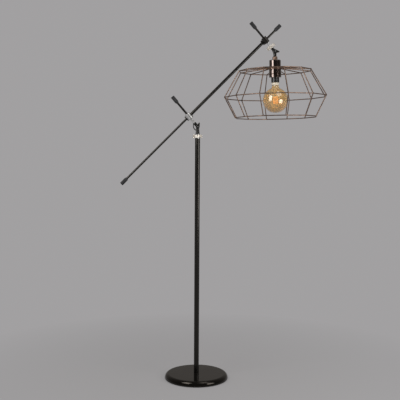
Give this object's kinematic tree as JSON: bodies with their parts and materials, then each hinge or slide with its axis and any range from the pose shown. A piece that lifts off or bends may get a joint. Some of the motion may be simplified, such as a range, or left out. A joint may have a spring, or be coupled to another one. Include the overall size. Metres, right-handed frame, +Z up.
{
  "type": "wire cage floor lamp",
  "caption": "Floor lamp with a round weighted base, a pole, a tilting counter-levered boom between crossed arms, and a hanging faceted wire cage shade with a globe bulb.",
  "frame": {"origin": "centre of the base's underside, on the floor", "axes": "+Z up the pole, +X from the pole towards the shade, +Y to the back, the side that the boom is on"},
  "size_m": [1.0226, 0.5143, 1.7685],
  "materials": {
    "black_gloss": "gloss black powder coat",
    "black_paint": "semi-gloss black powder coat",
    "black_knuckle": "black plated, semi-gloss",
    "black_lever": "gloss black moulding",
    "black_rubber": "matte black soft cap",
    "black_foam": "matte black pad",
    "black_holder": "black thermoset, slight sheen",
    "cast_iron": "rough casting",
    "zinc": "zinc plated",
    "nickel": "bright nickel",
    "clear_collar": "half-clear pale plastic",
    "lead": "black PVC",
    "copper_finish": "dark antique copper, satin",
    "dark_bronze": "black bronze, polished",
    "brass": "bright brass",
    "pale_insulator": "cream glazed",
    "amber_glass": "clear amber coated glass",
    "clear_glass": "clear glass",
    "filament": "yellow-orange coating"
  },
  "bodies": {
    "stand": {"base_cover": "black_gloss", "base_weight": "cast_iron", "base_pad": "black_foam", "base_lead_bush": "black_rubber", "base_nut": "zinc", "pole_stud": "zinc", "pole_plugs": "zinc", "pole_tube": "black_paint", "neck_nipple": "nickel", "neck_collar": "clear_collar", "pole_lead": "lead"},
    "head": {"lower_joint_fork": "black_knuckle", "lower_joint_screw": "zinc", "neck_grub_screw": "zinc"},
    "lower_lever": {"lower_lever_nut": "black_lever"},
    "arm": {"lower_joint_tongue": "black_knuckle", "lower_joint_tube": "nickel", "lower_front_sleeve": "nickel", "lower_counter_rod": "black_paint", "lower_counter_cap": "black_rubber", "lower_lead_loop": "lead"},
    "boom": {"lower_rear_sleeve": "black_paint", "lower_swivel_pin": "zinc", "boom_tail_rod": "black_paint", "boom_tail_cap": "black_rubber", "boom_tube": "black_paint", "boom_lead": "lead", "upper_rear_sleeve": "black_paint", "upper_swivel_pin": "zinc", "boom_tip_rod": "black_paint", "boom_tip_cap": "black_rubber"},
    "shade_arm": {"upper_front_sleeve": "black_paint", "upper_counter_rod": "black_paint", "upper_counter_cap": "black_rubber", "upper_joint_tube": "nickel", "arm_collar": "clear_collar", "upper_joint_fork": "black_knuckle", "upper_joint_screw": "zinc", "upper_lead_loop": "lead"},
    "upper_lever": {"upper_lever_nut": "black_lever"},
    "shade": {"upper_joint_tongue": "black_knuckle", "holder_neck_cup": "copper_finish", "holder_cover": "dark_bronze", "holder_nut": "zinc", "holder_skirt": "dark_bronze", "lampholder_body": "black_holder", "lampholder_shell": "brass", "lampholder_contact": "pale_insulator", "bulb_cap": "brass", "bulb_collar": "pale_insulator", "bulb_glass": "amber_glass", "bulb_stem": "clear_glass", "bulb_filaments": "filament", "cage_collar": "copper_finish", "cage_spokes": "copper_finish", "cage_top_ring": "copper_finish", "cage_upper_ribs": "copper_finish", "cage_middle_ring": "copper_finish", "cage_lower_ribs": "copper_finish", "cage_bottom_ring": "copper_finish"}
  },
  "joints": [
    {"name": "head_swivel", "type": "hinge", "parent": "stand", "child": "head", "pos_m": [0, 0, 1.219], "axis": [0, 0, 1], "range_deg": [-170, 170]},
    {"name": "lower_lever_turn", "type": "hinge", "parent": "head", "child": "lower_lever", "pos_m": [0, 0, 1.248], "axis": [0, -1, 0], "range_deg": [0, 180]},
    {"name": "lower_tilt", "type": "hinge", "parent": "head", "child": "arm", "pos_m": [0, 0, 1.248], "axis": [0, 1, 0], "range_deg": [-45, 60], "deforming": ["lower_lead_loop"]},
    {"name": "boom_swivel", "type": "hinge", "parent": "arm", "child": "boom", "pos_m": [-0.04278, 0, 1.29773], "axis": [0, 1, 0], "range_deg": [-20, 20]},
    {"name": "shade_arm_swivel", "type": "hinge", "parent": "boom", "child": "shade_arm", "pos_m": [0.33319, 0, 1.67766], "axis": [0, 1, 0], "range_deg": [-30, 0]},
    {"name": "upper_lever_turn", "type": "hinge", "parent": "shade_arm", "child": "upper_lever", "pos_m": [0.38112, 0, 1.62193], "axis": [0, -1, 0], "range_deg": [0, 180]},
    {"name": "shade_tilt", "type": "hinge", "parent": "shade_arm", "child": "shade", "pos_m": [0.38112, 0, 1.62193], "axis": [0, 1, 0], "range_deg": [-90, 2], "deforming": ["upper_lead_loop"]}
  ]
}
